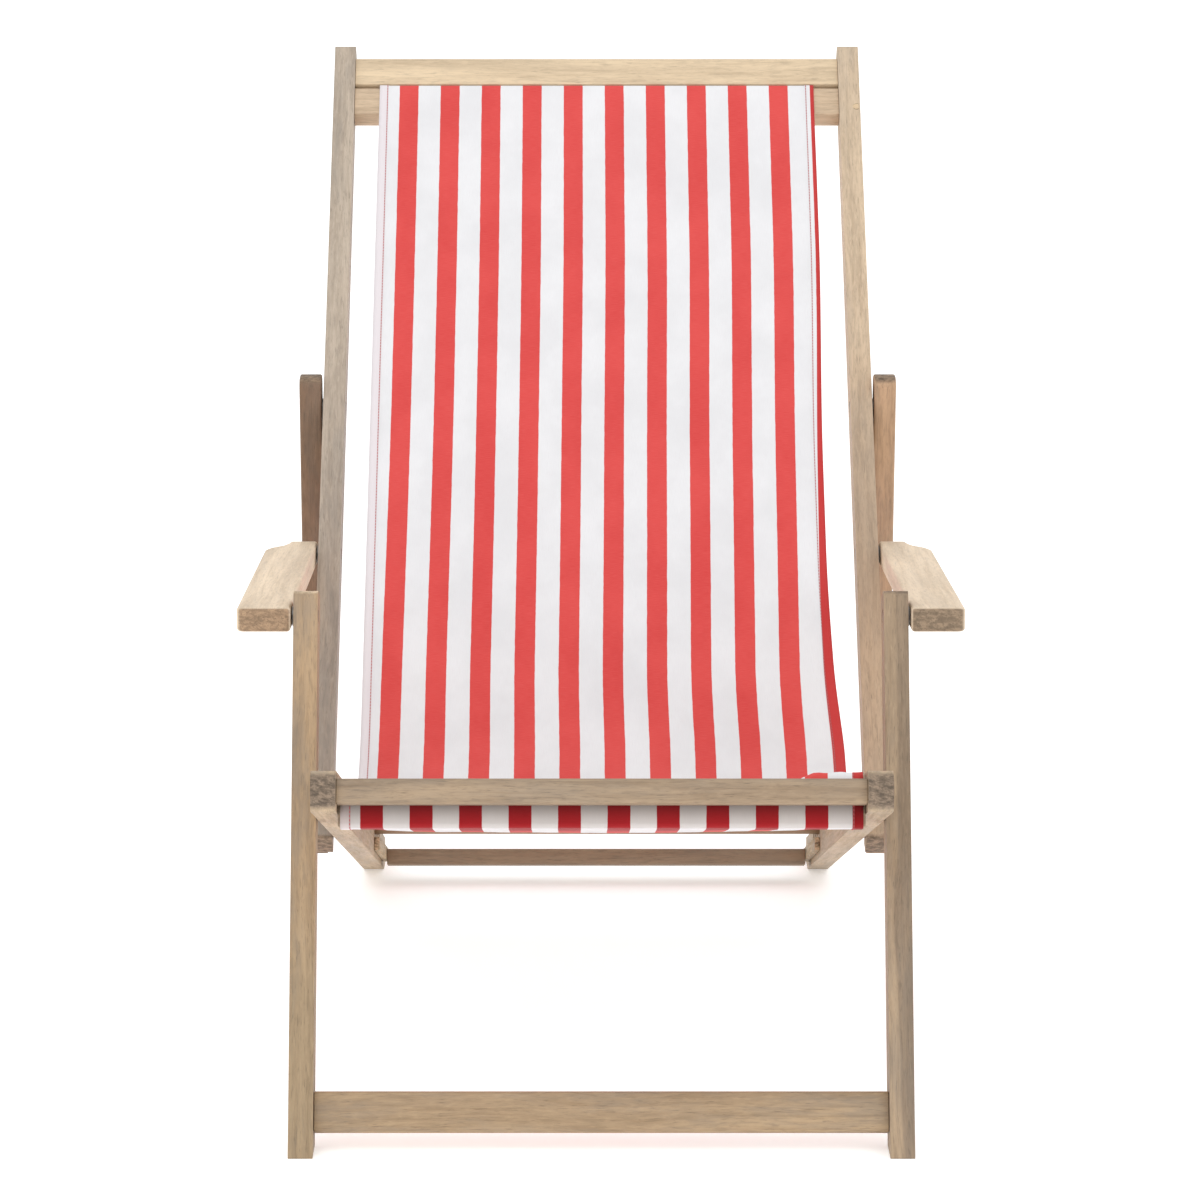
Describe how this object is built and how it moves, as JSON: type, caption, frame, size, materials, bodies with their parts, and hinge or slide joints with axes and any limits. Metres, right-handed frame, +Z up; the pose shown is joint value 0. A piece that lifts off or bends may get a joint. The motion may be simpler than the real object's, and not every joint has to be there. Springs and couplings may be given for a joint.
{
  "type": "deck chair",
  "caption": "Folding wooden deck chair with armrests, a notched rack for the back's prop and a hung canvas sling in broad stripes",
  "frame": {"origin": "on the floor under the middle of the chair's box, chair set up for use", "axes": "X across the chair, Y from the front to the back, Z up"},
  "size_m": [0.656, 1.0712, 0.8912],
  "materials": {
    "pale_wood": "oiled, clean",
    "back_wood": "weathered",
    "seat_wood": "weathered",
    "leg_wood": "weathered",
    "dark_wood": "dark, worn",
    "steel": "zinc plated",
    "canvas": "woven canvas, red and white stripes"
  },
  "bodies": {
    "seat": {"seat_front_rail": "seat_wood", "seat_sling_rail": "seat_wood", "seat_rear_stretcher": "dark_wood", "front_dowel": "pale_wood", "sling": "canvas", "seat_rail_left": "seat_wood", "rack_strip_left": "dark_wood", "leg_pivot_bolt_left": "steel", "back_pivot_bolt_left": "steel", "leg_pivot_washer_left": "steel", "back_pivot_washer_left": "steel", "seat_rail_right": "seat_wood", "rack_strip_right": "dark_wood", "leg_pivot_bolt_right": "steel", "back_pivot_bolt_right": "steel", "leg_pivot_washer_right": "steel", "back_pivot_washer_right": "steel"},
    "back": {"head_rail": "pale_wood", "back_sling_rail": "pale_wood", "top_dowel": "pale_wood", "back_rail_left": "back_wood", "prop_pivot_bolt_left": "steel", "prop_pivot_washer_left": "steel", "arm_rear_bolt_left": "steel", "arm_rear_washer_left": "steel", "back_rail_right": "back_wood", "prop_pivot_bolt_right": "steel", "prop_pivot_washer_right": "steel", "arm_rear_bolt_right": "steel", "arm_rear_washer_right": "steel"},
    "legs": {"front_stretcher": "leg_wood", "front_leg_left": "leg_wood", "arm_front_bolt_left": "steel", "arm_front_washer_left": "steel", "front_leg_right": "leg_wood", "arm_front_bolt_right": "steel", "arm_front_washer_right": "steel"},
    "prop": {"prop_crossbar": "dark_wood", "prop_leg_left": "dark_wood", "prop_leg_right": "dark_wood"},
    "arm_left": {"armrest_left": "pale_wood"},
    "arm_right": {"armrest_right": "pale_wood"}
  },
  "joints": [
    {"name": "back_fold", "type": "hinge", "parent": "seat", "child": "back", "pos_m": [0, -0.11458, 0.20492], "axis": [-1, 0, 0], "range_deg": [0, 51.5], "deforming": ["sling"]},
    {"name": "leg_fold", "type": "hinge", "parent": "seat", "child": "legs", "pos_m": [0, -0.3895, 0.29139], "axis": [-1, 0, 0], "range_deg": [0, 71]},
    {"name": "arm_left_fold", "type": "hinge", "parent": "legs", "child": "arm_left", "pos_m": [0, -0.32767, 0.44836], "axis": [-1, 0, 0], "range_deg": [-59.1, 0]},
    {"name": "arm_right_fold", "type": "hinge", "parent": "legs", "child": "arm_right", "pos_m": [0, -0.32767, 0.44836], "axis": [-1, 0, 0], "range_deg": [-59.1, 0]},
    {"name": "prop_fold", "type": "hinge", "parent": "back", "child": "prop", "pos_m": [0, 0.21385, 0.55222], "axis": [-1, 0, 0], "range_deg": [-126.6, 0]}
  ],
  "couplings": [
    {"joint": "leg_fold", "follows": "back_fold", "ratio": 1.37},
    {"joint": "arm_left_fold", "follows": "back_fold", "ratio": -1.14},
    {"joint": "arm_right_fold", "follows": "back_fold", "ratio": -1.14},
    {"joint": "prop_fold", "follows": "back_fold", "ratio": -2.45}
  ]
}
